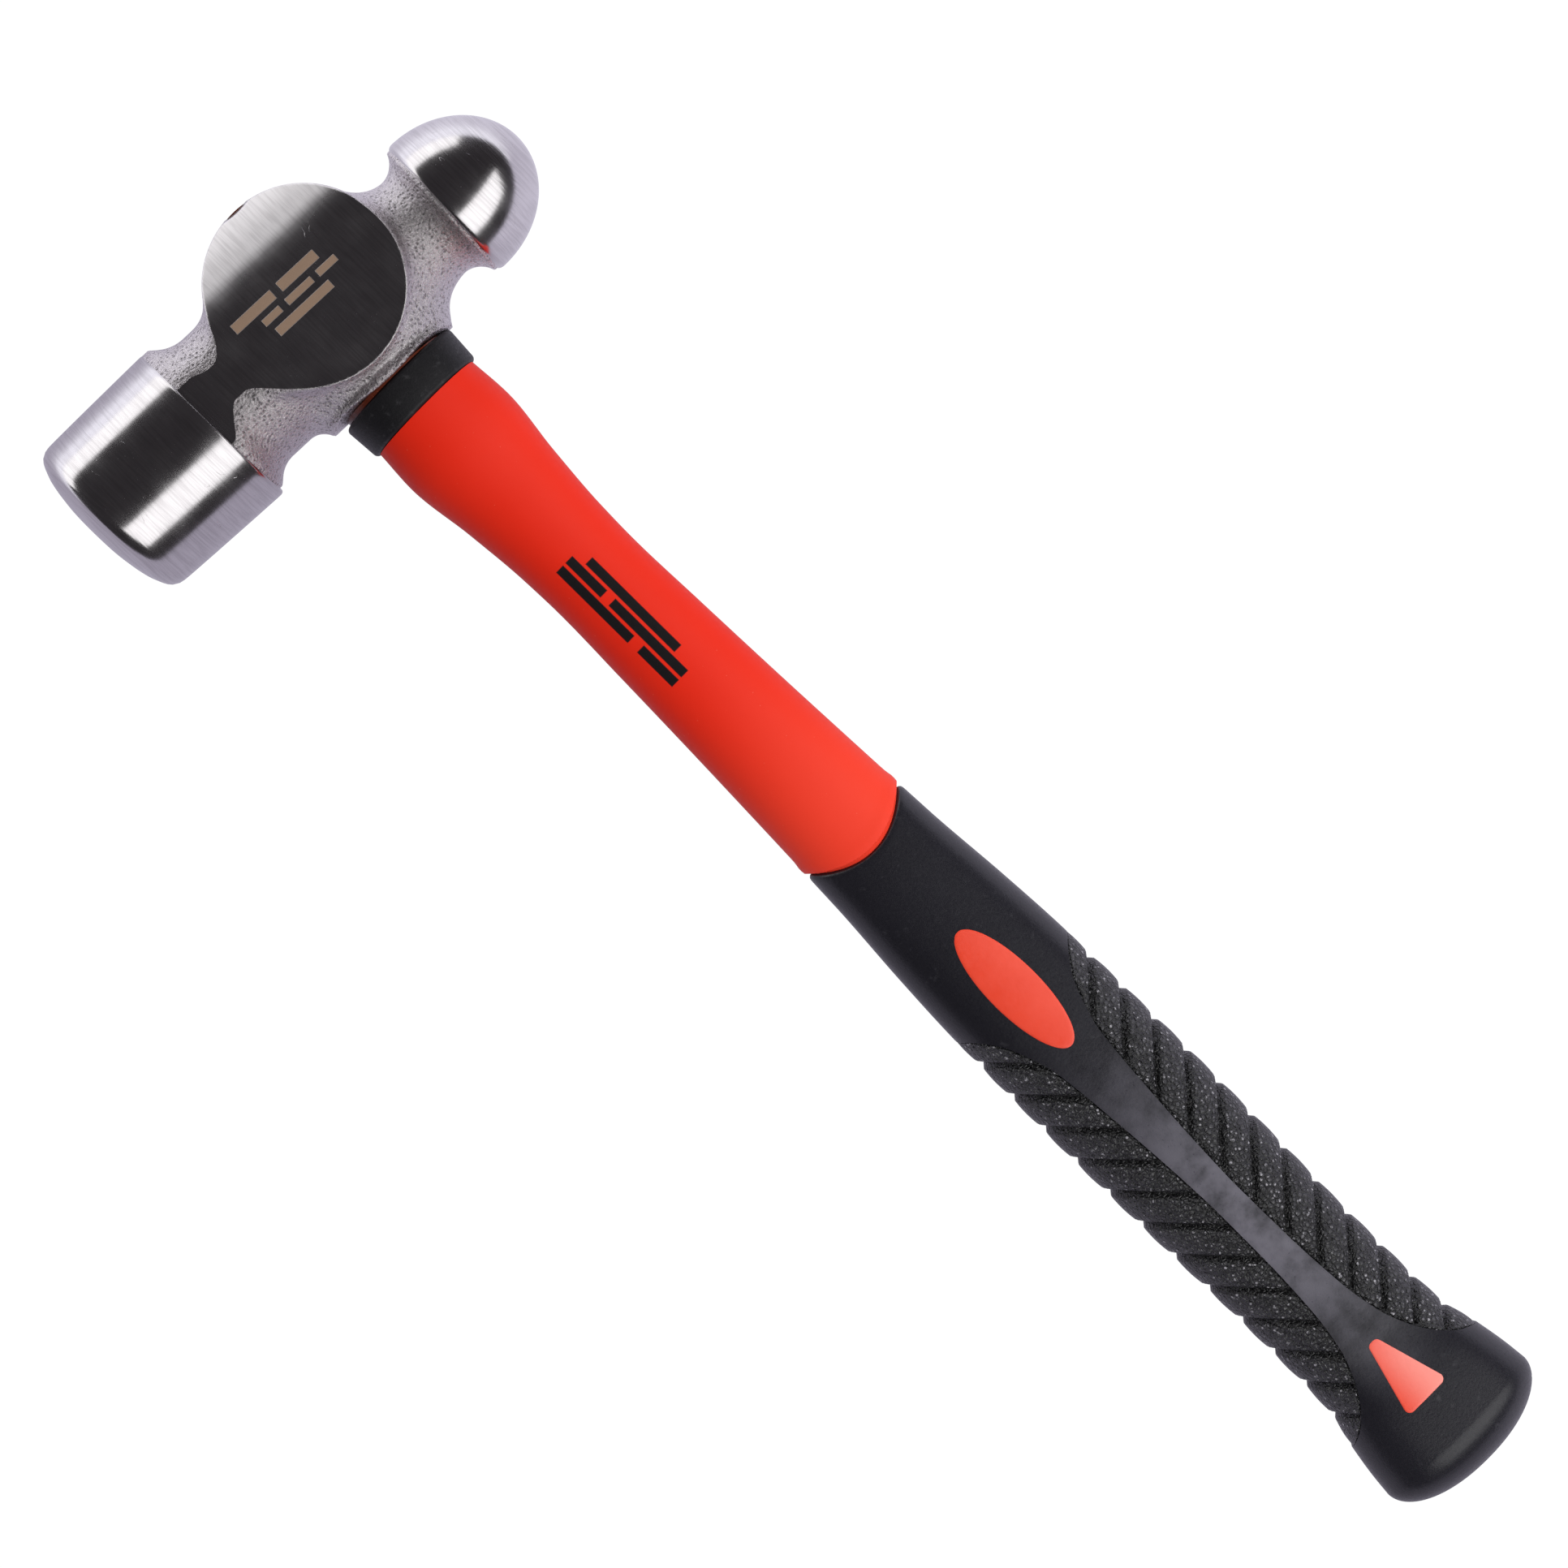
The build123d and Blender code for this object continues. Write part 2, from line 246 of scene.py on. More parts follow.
# %% The socket and the finish
class Signal:
    """A number that changes over the surface, taken from one output socket."""

    def __init__(self, finish, socket):
        self.finish = finish
        self.socket = socket

    def math(self, operation, *values):
        """The result of one Math node."""
        return self.finish.node("ShaderNodeMath", {"operation": operation}, dict(enumerate(values)))

    def __add__(self, other):
        return self.math("ADD", self, other)

    def __sub__(self, other):
        return self.math("SUBTRACT", self, other)

    def __rsub__(self, other):
        return self.math("SUBTRACT", other, self)

    def __mul__(self, other):
        return self.math("MULTIPLY", self, other)

    def __truediv__(self, other):
        return self.math("DIVIDE", self, other)

    def __rtruediv__(self, other):
        return self.math("DIVIDE", other, self)

    __radd__ = __add__
    __rmul__ = __mul__

    def size(self):
        """The number without its sign."""
        return self.math("ABSOLUTE", self)

    def least(self, other):
        """The smaller of two numbers."""
        return self.math("MINIMUM", self, other)

    def most(self, other):
        """The larger of two numbers."""
        return self.math("MAXIMUM", self, other)

    def ramp(self, low, high, start=0.0, end=1.0):
        """A soft ramp of this number from start at low to end at high."""
        inputs = {"Value": self, "From Min": low, "From Max": high, "To Min": start, "To Max": end}
        return self.finish.node("ShaderNodeMapRange", {"interpolation_type": "SMOOTHSTEP"}, inputs)


class Finish:
    """One material: a Principled surface and the nodes that feed it."""

    def __init__(self, name, **constants):
        self.material = bpy.data.materials.new(name)
        self.material.use_nodes = True
        self.tree = self.material.node_tree
        self.surface = self.tree.nodes["Principled BSDF"]
        for socket, value in constants.items():
            self.set(socket.replace("_", " "), value)
        place = self.node("ShaderNodeTexCoord", output="Object")
        self.place = self.node("ShaderNodeVectorMath", {"operation": "SCALE"}, {0: place, "Scale": to_mm})
        self.x, self.y, self.z = self.split(self.place)

    def node(self, kind, settings=None, inputs=None, output=0):
        """Adds any node: its settings first, then the values or links of its sockets."""
        made = self.tree.nodes.new(kind)
        for setting, value in (settings or {}).items():
            if setting == "stops":
                band = made.color_ramp
                while len(band.elements) < len(value):
                    band.elements.new(0.5)
                for element, (position, colour) in zip(band.elements, value):
                    element.position, element.color = position, colour
            else:
                setattr(made, setting, value)
        for key, value in (inputs or {}).items():
            self.feed(made.inputs[key], value)
        return Signal(self, made.outputs[output])

    def feed(self, socket, value):
        """Links a signal to a socket, or sets the socket to a plain value."""
        if isinstance(value, Signal):
            self.tree.links.new(value.socket, socket)
        else:
            socket.default_value = value

    def set(self, name, value):
        """Feeds one socket of the surface."""
        self.feed(self.surface.inputs[name], value)

    def split(self, vector):
        """The three numbers of a vector."""
        parts = self.node("ShaderNodeSeparateXYZ", None, {0: vector}).socket.node
        return [Signal(self, socket) for socket in parts.outputs]

    def stretch(self, x=1.0, y=1.0, z=1.0):
        """The place with each direction's distances multiplied, to draw a pattern out."""
        return self.node("ShaderNodeVectorMath", {"operation": "MULTIPLY"}, {0: self.place, 1: (x, y, z)})

    def noise(self, scale, detail=3.0, rough=0.5, place=None, bend=0.0):
        """Cloudy noise from 0 to 1, with scale in waves to a millimetre."""
        inputs = {"Vector": place or self.place, "Scale": scale, "Detail": detail, "Roughness": rough,
                  "Distortion": bend}
        return self.node("ShaderNodeTexNoise", None, inputs)

    def cells(self, scale, feature="F1", place=None, random=1.0):
        """Distance to the nearest scattered point, or to the edge between two cells."""
        inputs = {"Vector": place or self.place, "Scale": scale, "Randomness": random}
        return self.node("ShaderNodeTexVoronoi", {"feature": feature}, inputs)

    def mix(self, amount, first, second):
        """A colour between two, each a colour or a link."""
        return self.node("ShaderNodeMix", {"data_type": "RGBA"}, {0: amount, 6: first, 7: second}, output=2)

    def bump(self, height, depth, normal=None, strength=1.0):
        """A normal bent by a height from 0 to 1 that stands for depth in millimetres."""
        inputs = {"Height": height, "Distance": depth * to_metres, "Strength": strength}
        if normal is not None:
            inputs["Normal"] = normal
        return self.node("ShaderNodeBump", None, inputs)

    def rounded_edge(self, radius):
        """A normal that turns smoothly over crisp edges, as if they were worn to a radius in millimetres."""
        return self.node("ShaderNodeBevel", {"samples": 8}, {"Radius": radius * to_metres}, output=0)

    def bar(self, middle, half, turn=0.0, soft=0.12):
        """1 inside an upright bar in the XY plane and 0 outside, with soft edges.

        The bar's middle and half sizes are in millimetres, and it may be turned by an angle. The
        distance outside is the larger of the overshoots along the bar and across it.
        """
        c, s = math.cos(turn), math.sin(turn)
        x, y = self.x - middle[0], self.y - middle[1]
        along, across = x * c + y * s, y * c - x * s
        outside = (along.size() - half[0]).most(across.size() - half[1])
        return outside.ramp(soft, -soft)

    def bars(self, sizes, turn=0.0):
        """1 inside any of several (middle, half sizes) bars."""
        each = [self.bar(middle, half, turn) for middle, half in sizes]
        every = each[0]
        for one in each[1:]:
            every = every.most(one)
        return every

    def report(self):
        """Prints how large the finish's network is."""
        print(self.material.name, "has", len(self.tree.nodes), "nodes")


def tone(red, green, blue):
    """A display colour from 0 to 255 as the linear colour that a shader works in."""
    share = np.array([red, green, blue]) / 255.0
    linear = np.where(share <= 0.04045, share / 12.92, ((share + 0.055) / 1.055) ** 2.4)
    return (*linear.tolist(), 1.0)


print("middle grey as a shader sees it:", round(tone(128, 128, 128)[0], 3))

# %% [markdown]
# ## The camera
#
# The hammer is seen from straight above, turned so that the handle runs to the lower right. A long
# lens from 1.3 m keeps the head and the grip in proportion, where a short one would swell whatever
# is nearer.

# %% Camera
camera_height = 1.3
view_width = 0.3333
lens = bpy.data.cameras.new("camera")
lens.sensor_width = 36.0
lens.lens = 36.0 * camera_height / view_width
lens.clip_end = 20.0
camera = bpy.data.objects.new("camera", lens)
camera_turn = math.radians(-45.35)
camera.location = (-0.0034, -0.1390, camera_height)
camera.rotation_euler = (0.0, 0.0, camera_turn)
bpy.context.scene.collection.objects.link(camera)
bpy.context.scene.camera = camera
bpy.context.scene.view_settings.view_transform = "Standard"
print("focal length", round(lens.lens, 1), "mm")

# %% [markdown]
# ## The floor
#
# The floor is pure white and without shadows to the camera, because it glows by itself. Polished
# steel mirrors it, and there a plain white floor would look flat. So every other ray sees a floor
# that is dimmer near the handle and brighter beyond the head, as under a real soft box.

# %% Floor
floor_height = cad_box[0][2] - 0.0001
floor_mesh = bpy.data.meshes.new("floor")
floor_half = 4
floor_signs = ((-1, -1), (1, -1), (1, 1), (-1, 1))
floor_corners = [(floor_half * across, floor_half * along, floor_height) for across, along in floor_signs]
floor_mesh.from_pydata(floor_corners, [], [(0, 1, 2, 3)])
floor_base = (0.03, 0.03, 0.03, 1.0)
floor_finish = Finish("floor_white", Base_Color=floor_base, Roughness=0.9, Specular_IOR_Level=0.0)
seen = floor_finish.node("ShaderNodeLightPath", output="Is Camera Ray")
glow_white, glow_far = (1.0, 1.0, 1.0, 1), (1.24, 1.24, 1.36, 1)
glow_face_side, glow_peen_side = (0.45, 0.42, 0.52, 1), (0.74, 0.71, 0.84, 1)
far_side = (floor_finish.y + floor_finish.x * 0.3).ramp(10.0, 150.0)
near_side = floor_finish.mix(floor_finish.x.ramp(-20.0, 80.0), glow_face_side, glow_peen_side)
mirrored = floor_finish.mix(far_side, near_side, glow_far)
floor_finish.set("Emission Color", floor_finish.mix(seen, mirrored, glow_white))
floor_finish.set("Emission Strength", 1.0)
floor_mesh.materials.append(floor_finish.material)
floor = bpy.data.objects.new("floor", floor_mesh)
bpy.context.scene.collection.objects.link(floor)
floor_finish.report()

# %% [markdown]
# ## The lights
#
# A large soft box hangs on the handle's side. The ground steel mirrors it as bright bands, and
# mirrors the dark ceiling as black ones. A fill above and a strip on either side lift the black
# rubber, but are hidden from reflections, which they would cross with extra lines. A low wall of
# light stands beyond the head and gives its far edges their shine.

# %% Lights
def soft_box(name, middle, size, glow, target, shines=True):
    """A rectangular light that faces a target, with its brightness as a mirror shows it."""
    light = bpy.data.lights.new(name, "AREA")
    light.shape = "RECTANGLE"
    light.size, light.size_y = size
    light.energy = glow * math.pi * size[0] * size[1]
    holder = bpy.data.objects.new(name, light)
    facing = Vector(middle) - Vector(target)
    holder.location = middle
    holder.rotation_euler = facing.to_track_quat("Z", "Y").to_euler()
    holder.visible_glossy = shines
    bpy.context.scene.collection.objects.link(holder)
    print(name, "gives", round(light.energy, 2), "W")


soft_box("main_soft_box", (0.65, -1.10, 0.90), (2.6, 1.34), 1.6, (0.65, -1.10, 0.0))
handle_middle, strip_size = (0.0, -0.15, 0.0), (0.5, 1.7)
soft_box("fill", (0.6, -0.2, 1.45), (1.4, 1.4), 2.0, handle_middle, shines=False)
soft_box("peen_side_strip", (1.25, -0.22, 0.62), strip_size, 1.6, handle_middle, shines=False)
soft_box("face_side_strip", (-1.25, -0.22, 0.62), strip_size, 0.7, handle_middle, shines=False)
soft_box("far_wall", (0.0, 2.4, 0.53), (5.0, 1.06), 1.6, (0.0, 2.0, 0.53))
world = bpy.data.worlds.new("studio")
bpy.context.scene.world = world
world.use_nodes = True
ceiling = world.node_tree.nodes["Background"]
ceiling.inputs["Color"].default_value = (0.034, 0.031, 0.034, 1.0)
ceiling.inputs["Strength"].default_value = 1.0

# %% [markdown]
# ## The head
#
# The real head is drop forged, then its poll, its ball and the two sides of its cheek are ground.
# So the forging is made first, as one smooth skin: a field of distances melds the round cheek,
# the waist behind the poll, the skirt round the eye and the neck of the ball, and the skin is
# where the field is nothing. The ground parts are then cut or added as Booleans, which leaves the
# same crisp borders that a grinding wheel leaves.

# %% The forging as a field
cheek_flat, cheek_radius, cheek_centre, cheek_rise = 18.2, 21.5, 5.3, 1.9
waist_start, waist_round, waist_radius, waist_middle = -26.5, 7.5, 16.8, 3.4
waist_above, waist_side, waist_below, waist_power = 13.4, 19.4, 20.2, 2.6
poll_core = 20.35
skirt_foot, skirt_mean = 19.6, 14.0
arch_bow, arch_high, arch_half = 0.011, 1.9, 12.0
neck_middle, neck_round, neck_radius, neck_widest = 26.3, 5.9, 12.8, 17.0
waist_meld, skirt_meld, neck_meld, flat_meld = 4.4, 2.4, 7.0, 1.3
grinding = 0.22
skirt_lengths = [(-24, 16.6), (-19.6, 17.3), (-17.6, 18.2), (-14, 19.2), (-8, 20.2), (2, 20.6)]
skirt_depths = [(-24, 14.1), (-19.6, 14.3), (-18.8, 14.5), (-17.5, 13.7), (-15.5, 15.0), (-10, 16.6),
                (-3, 18.4), (4, 19.0)]


def forging(x, y, z):
    """Distance outside the rough forging, in the head's own frame.

    The cheek is a cylinder whose middle rises from 5.3 at the flats to 7.2 at the core. The
    waist is an oval that is flatter above than below and swells to the poll along a quarter of
    a circle. The skirt is a column of ovals round the eye, and the neck is a circle that widens
    to the ball. The four are melded by the smaller distance, and the arch under the skirt and the
    two flats cut the result by the larger one.
    """
    cheek_middle = cheek_centre + cheek_rise * (1 - np.clip(z / cheek_flat, -1, 1) ** 4)
    cheek = np.hypot(x, y - cheek_middle) - cheek_radius
    run = np.clip(waist_start - x, 0, waist_round - 0.1)
    swell = (waist_radius + waist_round - np.sqrt(waist_round ** 2 - run ** 2)) / waist_radius
    rise = y - waist_middle
    above = rise > 0
    tall = np.where(above, np.abs(rise / waist_above) ** waist_power, (rise / waist_below) ** 2)
    broad = np.where(above, np.abs(z / waist_side) ** waist_power, (z / waist_side) ** 2)
    oval = (tall + broad) ** np.where(above, 1 / waist_power, 0.5)
    waist = np.maximum(-meld((swell - oval) * 16.0, poll_core - np.hypot(y, z), 1.6), x - 4)
    long_half, thick_half = through(skirt_lengths, y), through(skirt_depths, y)
    skirt = (np.sqrt((x / long_half) ** 2 + (z / thick_half) ** 2) - 1) * skirt_mean
    skirt = np.maximum(skirt, y - 6)
    turn = np.clip(x - neck_middle, 0.3 - neck_round, neck_round - 0.3)
    flare = neck_radius + neck_round - np.sqrt(neck_round ** 2 - turn ** 2)
    widened = np.where(x < neck_middle, neck_radius, np.minimum(flare, neck_widest))
    neck = np.maximum(np.hypot(y + 0.3, z) - widened, -x)
    body = meld(meld(cheek, waist, waist_meld), skirt, skirt_meld)
    body = meld(body, neck, neck_meld)
    arch = np.minimum(arch_bow * x * x, arch_high) * np.clip(np.abs(z) / arch_half, 0, 1) ** 2
    under = -(y + skirt_foot - arch + 0.25)
    return -meld(-np.maximum(body, under), cheek_flat + grinding - np.abs(z), flat_meld)


def forging_rings(places, columns, halvings=26):
    """The forging's skin as rings across the head, found along rays from its axis.

    Each ray starts with the skin somewhere between 0 and 48. Again and again that stretch is cut
    in half, and the half is kept in which the field changes sign.
    """
    angle = np.linspace(0, 2 * math.pi, columns, endpoint=False)[None, :]
    x = np.repeat(places[:, None], columns, 1)
    low, high = np.zeros_like(x), np.full_like(x, 48.0)
    for _ in range(halvings):
        half = (low + high) / 2
        inside = forging(x, half * np.sin(angle), half * np.cos(angle)) < 0
        low, high = np.where(inside, half, low), np.where(inside, high, half)
    return np.stack([x, low * np.sin(angle), low * np.cos(angle)], -1)


forging_places = np.concatenate([np.linspace(-38, -20, 48), np.linspace(-19.6, 21.6, 110),
                                 np.linspace(22, 33.6, 34)])
forging_mesh = ring_mesh("forging", forging_rings(forging_places, 288))


# %% [markdown]
# ## The ground parts and the eye
#
# Poll and ball are turned about the head's axis, so each is a profile of (place, radius) pairs
# spun into rings. A Screw modifier would do the same. The poll leans, so it is sheared a little.
# The two flats are one slab whose outline falls away at the top of the cheek. The eye is a stack
# of ovals that grow longer towards the top, so that the set resin can't be pulled down out of it.

# %% The poll and the ball
def lathe(name, profile, columns=144):
    """A body turned about the head's axis from (place along the axis, radius) pairs.

    Y is the radius times the sine of the turn, and Z is the radius times its cosine.
    """
    place, radius = np.array(profile, float).T
    angle = np.linspace(0, 2 * math.pi, columns, endpoint=False)
    rings = np.stack(np.broadcast_arrays(place[:, None], radius[:, None] * np.sin(angle),
                                         radius[:, None] * np.cos(angle)), -1)
    return ring_mesh(name, rings)


def rounded(points, steps):
    """Pairs along the smooth line through points, evenly spread over their first numbers."""
    first = [point[0] for point in points]
    spread = np.linspace(first[0], first[-1], steps)
    return list(zip(spread, through(points, spread)))


face_line = [(0.05, -68.38), (6, -68.3), (10.9, -67.75), (14.5, -67.0), (16.65, -66.2), (18.3, -65.4),
             (19.1, -64.7)]
face_turn = [(place, radius) for radius, place in rounded(face_line, 26)]
poll_side = [(-64.7, 19.1), (-64.0, 19.55), (-63.2, 19.88), (-62.2, 20.05), (-57, 20.25), (-46, 20.55),
             (-36, 20.78)]
poll_turn = face_turn + rounded(poll_side, 24)[1:]
poll_turn += [(-34.9, 20.78), (-34.4, 20.66), (-34.1, 20.35), (-34.0, 19.6), (-34.0, 6.0)]
poll_mesh = lathe("poll", poll_turn)
poll_lean, poll_sink, peen_sink = -0.045, -0.00035, -0.0003
shear = np.identity(4)
shear[0, 1] = poll_lean
shear[1, 3] = poll_sink
poll_mesh.transform(Matrix(shear))
ball_long, ball_radius = 20.75, 17.5
sweep = np.linspace(0, 1, 30)[1:-1] * math.pi / 2
peen_turn = [(32.5, 6.0), (32.5, 16.6), (32.75, 17.05), (33.2, 17.35), (33.7, 17.47), (34.0, ball_radius)]
peen_turn += [(34.0 + ball_long * math.sin(a), ball_radius * math.cos(a)) for a in sweep]
peen_mesh = lathe("peen", peen_turn)
peen_mesh.transform(Matrix.Translation((0.0, peen_sink, 0.0)))

# %% The flats and the eye as cutters
shoulder = np.linspace(8.0, 31.0, 47)
tilt = np.radians(30.0 * ease(8.0, 20.0, shoulder) + 5.0 * ease(20.0, 31.0, shoulder))
drop = np.concatenate([[0], np.cumsum(np.tan((tilt[1:] + tilt[:-1]) / 2) * np.diff(shoulder))])
half_outline = [(-30.0, cheek_flat), *zip(shoulder, cheek_flat - drop), (40.0, 5.0)]
print("top of the cheek is", round(2 * (cheek_flat - float(np.interp(29.2, shoulder, drop))), 1), "mm thick")
outline = np.array(half_outline + [(y, -z) for y, z in reversed(half_outline)])
slab_rings = np.stack([np.column_stack([np.full(len(outline), x), outline]) for x in (-60.0, 60.0)])
slab_mesh = ring_mesh("flats", slab_rings)
eye_foot, eye_height = -20.5, 50.7
eye_angle = np.linspace(0, 2 * math.pi, 96, endpoint=False)
eye_rings = []
for height in np.linspace(-24, 34, 12):
    share = (height - eye_foot) / eye_height
    half_x, half_z = 13.2 + 4.0 * share, 11.4 - 1.6 * share
    level = np.full(len(eye_angle), height)
    eye_rings.append(np.column_stack([half_x * np.cos(eye_angle), level, half_z * np.sin(eye_angle)]))
eye_mesh = ring_mesh("eye", np.array(eye_rings))


# %% [markdown]
# ## Grinding and drilling
#
# The Boolean modifier keeps what two bodies share, joins them or takes one away. Faces keep the
# material of the body that they come from, so the ground places know that they are ground.

# %% Helpers for the Booleans
def carve(mesh, steps):
    """The mesh after a list of (operation, cutter mesh) Booleans."""
    stock = bpy.data.objects.new("stock", mesh)
    bpy.context.scene.collection.objects.link(stock)
    tools = []
    for operation, cutter in steps:
        tool = bpy.data.objects.new("tool", cutter)
        bpy.context.scene.collection.objects.link(tool)
        tools.append(tool)
        cut = stock.modifiers.new("cut", "BOOLEAN")
        cut.operation, cut.object, cut.solver = operation, tool, "EXACT"
    graph = bpy.context.evaluated_depsgraph_get()
    result = bpy.data.meshes.new_from_object(stock.evaluated_get(graph), depsgraph=graph)
    for spare in [stock, *tools]:
        bpy.data.objects.remove(spare)
    return result


def mark_borders(mesh):
    """Keeps every edge crisp where two finishes meet, so that flats shade as flat.

    An edge lies on a border where the lowest and highest material number of its faces differ.
    """
    start, total, finish = np.empty((3, len(mesh.polygons)), np.int32)
    edges = np.empty(len(mesh.loops), np.int32)
    mesh.polygons.foreach_get("loop_start", start)
    mesh.polygons.foreach_get("loop_total", total)
    mesh.polygons.foreach_get("material_index", finish)
    mesh.loops.foreach_get("edge_index", edges)
    order = np.argsort(start)
    owner = np.repeat(finish[order], total[order])
    low, high = np.full(len(mesh.edges), finish.max()), np.full(len(mesh.edges), finish.min())
    np.minimum.at(low, edges, owner)
    np.maximum.at(high, edges, owner)
    sharp = np.empty(len(mesh.edges), bool)
    mesh.edges.foreach_get("use_edge_sharp", sharp)
    mesh.edges.foreach_set("use_edge_sharp", sharp | (low != high))
    print("edges where two finishes meet:", int((low != high).sum()))


# %% Grind and drill the forging
head_steps = [("INTERSECT", slab_mesh), ("UNION", poll_mesh), ("UNION", peen_mesh), ("DIFFERENCE", eye_mesh)]
as_forged, as_ground = 0, 1
stand_ins = [bpy.data.materials.new("forged_slot"), bpy.data.materials.new("ground_slot")]
for body, surface in ((forging_mesh, as_forged), (slab_mesh, as_ground), (poll_mesh, as_ground),
                      (peen_mesh, as_ground), (eye_mesh, as_forged)):
    for each in stand_ins:
        body.materials.append(each)
    body.polygons.foreach_set("material_index", np.full(len(body.polygons), surface))
head_mesh = carve(forging_mesh, head_steps)
head_mesh.name = "head"
weld(head_mesh, 0.004)
head_mesh.transform(Matrix.Rotation(cant, 4, "Z"))
head_mesh.polygons.foreach_set("use_smooth", np.ones(len(head_mesh.polygons), bool))
head_mesh.set_sharp_from_angle(angle=math.radians(32))
mark_borders(head_mesh)
print("head volume", round(outward(head_mesh), 2), "cm3,", len(head_mesh.polygons), "faces")


# %% [markdown]
# ## Steel finishes
#
# Forged steel is grey and grainy, because scale has been shot off it. Ground steel is bright, and
# each pass of the wheel leaves a fine line in the planes across the head. Noise that is drawn out
# along Y and Z gives such lines on the flats and on the turned ends alike.

# %% Forged steel
forged = Finish("forged_steel", Metallic=1.0)
grain = forged.noise(1.7, 5.0, 0.65)
pits = forged.cells(1.1).ramp(0.05, 0.5)
cloud = forged.noise(0.09, 3.0, 0.55)
dull_steel, clean_steel = (0.58, 0.535, 0.55, 1), (0.78, 0.74, 0.755, 1)
pit_dark, grain_light = (0.16, 0.145, 0.15, 1), (0.92, 0.89, 0.90, 1)
tint = forged.mix(cloud, dull_steel, clean_steel)
tint = forged.mix(pits * 0.75 + 0.25, pit_dark, tint)
tint = forged.mix(grain.ramp(0.5, 0.75) * 0.5, tint, grain_light)
forged.set("Base Color", tint)
forged.set("Roughness", grain.ramp(0.2, 0.8, 0.2, 0.34))
height = grain * 0.6 + pits * 0.25 + forged.noise(0.55, 3.0, 0.6) * 0.5
forged.set("Normal", forged.bump(height, 0.52, forged.rounded_edge(0.8)))
forged.report()

# %% Patterns of the ground steel
ground_steel = Finish("ground_steel", Metallic=1.0)
lines = ground_steel.noise(2.1, 2.0, 0.55, ground_steel.stretch(1.0, 0.05, 0.05))
wide_lines = ground_steel.noise(0.55, 2.0, 0.5, ground_steel.stretch(1.0, 0.06, 0.06))
smudge = ground_steel.noise(0.11, 4.0, 0.55)
scratch_field = ground_steel.noise(0.5, 1.0, 0.4, ground_steel.stretch(1.0, 0.12, 1.0))
scratch = (scratch_field - 0.5).size().ramp(0.006, 0.0) * ground_steel.noise(0.16).ramp(0.6, 0.72)
specks_and_glints = ground_steel.cells(0.9).ramp(0.11, 0.05) * ground_steel.noise(0.35).ramp(0.52, 0.62)
on_flat = ground_steel.z.size().ramp(17.2, 17.9)
cheek = ground_steel.x.size().ramp(31.0, 27.0)
worn_top = ground_steel.y.ramp(2.0, 22.0) * cheek

# %% Ground steel, with plain bars for the mark
mark_sizes = [((-11.2, 9.6), (5.6, 1.15)), ((1.5, 9.2), (5.2, 1.15)), ((-9.0, 6.2), (2.4, 0.8)),
              ((-1.2, 5.9), (3.6, 0.8)), ((6.6, 5.6), (2.6, 0.8)), ((-3.0, 2.6), (7.6, 1.0))]
bars = ground_steel.bars(mark_sizes, cant) * on_flat * ground_steel.z.ramp(0.0, 1.0)
smeared, polished = (0.60, 0.575, 0.585, 1), (0.72, 0.70, 0.71, 1)
line_dark, scratch_light = (0.42, 0.40, 0.41, 1), (0.85, 0.84, 0.84, 1)
tint = ground_steel.mix(smudge, smeared, polished)
tint = ground_steel.mix(lines.ramp(0.35, 0.7) * 0.45, tint, line_dark)
tint = ground_steel.mix(scratch * 0.5 + specks_and_glints * 0.25, tint, scratch_light)
tint = ground_steel.mix(bars, tint, tone(158, 132, 112))
ground_steel.set("Base Color", tint)
ground_steel.set("Metallic", 1.0 - bars * 0.75)
dullness = smudge.ramp(0.3, 0.75, 0.16, 0.22) + cheek * 0.04 + worn_top * 0.09
ground_steel.set("Roughness", dullness + bars * 0.2 + specks_and_glints * 0.15)
normal = ground_steel.bump(wide_lines, 0.02, ground_steel.rounded_edge(0.6))
normal = ground_steel.bump(lines, 0.016, normal)
normal = ground_steel.bump(scratch * -1.0 - bars, 0.03, normal)
ground_steel.set("Normal", normal)
ground_steel.report()

# %% Put the head in place
add_piece("steel_head", head_mesh, [forged.material, ground_steel.material], "forged_steel", "hammer_head")
for each in stand_ins:
    bpy.data.materials.remove(each)


# %% [markdown]
# ## The handle's outline
#
# Jacket and grip share one outline: a fat bulb under the collar, a slim waist, and a grip that
# swells, narrows and flares to a round butt. Each cross section is a superellipse, which is an
# oval with slightly full shoulders, as a hand tool has.

# %% Outline of the handle
half_widths = [(28.9, 13.9), (38.8, 14.5), (54.3, 12.75), (69.8, 11.5), (80, 11.25), (98.3, 11.75),
               (119, 12.4), (139.8, 13.2), (155.3, 13.85), (165.6, 14.3), (186.3, 15.8), (201.8, 16.6),
               (222.6, 17.05), (238, 17.15), (264, 16.9), (290, 16.45), (305, 16.5), (315.7, 17.0),
               (323.5, 18.7), (331.2, 20.0), (336.4, 20.55)]
half_depths = [(28.9, 11.8), (38.8, 12.0), (54.3, 10.6), (78, 9.6), (119, 10.2), (155, 10.9), (186, 12.3),
               (212, 13.2), (240, 13.5), (290, 13.1), (310, 13.2), (325, 14.4), (336.4, 15.15)]
dome_start = 336.4
full = 2.18


def outline_sizes(down):
    """Half width and half thickness of the handle at distances down it, butt dome included.

    Along the dome both shrink by (1 - t ** 2) ** (1 / 2.15), with t from 0 at its start to 1.
    """
    t = np.clip((down - dome_start) / (butt_end - dome_start), 0, 1)
    close = (1 - t ** 2.0) ** (1 / 2.15)
    return through(half_widths, down) * close, through(half_depths, down) * close


